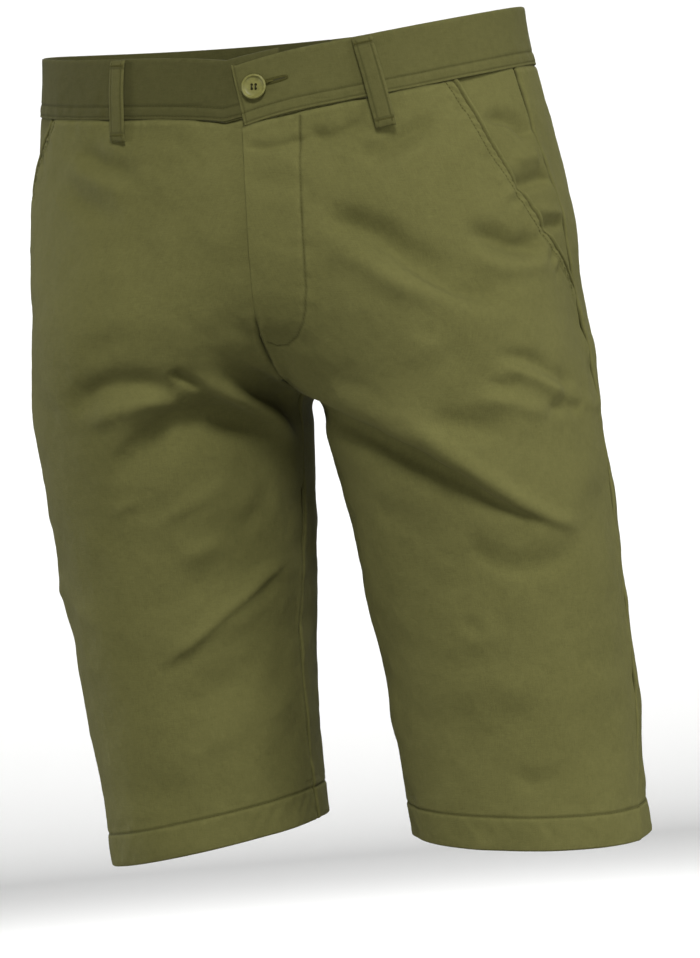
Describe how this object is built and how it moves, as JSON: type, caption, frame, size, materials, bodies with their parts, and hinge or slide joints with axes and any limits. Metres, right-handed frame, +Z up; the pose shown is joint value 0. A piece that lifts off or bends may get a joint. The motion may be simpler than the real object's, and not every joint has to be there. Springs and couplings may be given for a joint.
{
  "type": "flat front shorts",
  "caption": "Knee-length flat front twill shorts in their worn hollow shape, with a waistband, fly, slanted pockets and belt loops.",
  "frame": {"origin": "centre of the waist opening, level with the waistband's top edge at the side seams", "axes": "+Z up, +X to the wearer's left, the front faces -Y"},
  "size_m": [0.3893, 0.2721, 0.5563],
  "materials": {
    "twill": "matt olive green cotton twill",
    "button_plastic": "satin olive four-hole button"
  },
  "bodies": {
    "root": {"front_left": "twill", "front_right": "twill", "back_left": "twill", "back_right": "twill", "pocket_facing_left": "twill", "pocket_facing_right": "twill", "waistband_left": "twill", "waistband_right": "twill", "belt_loop_front_left": "twill", "belt_loop_front_right": "twill", "belt_loop_back_left": "twill", "belt_loop_back_right": "twill", "belt_loop_centre_back": "twill", "waist_button": "button_plastic"}
  },
  "joints": []
}
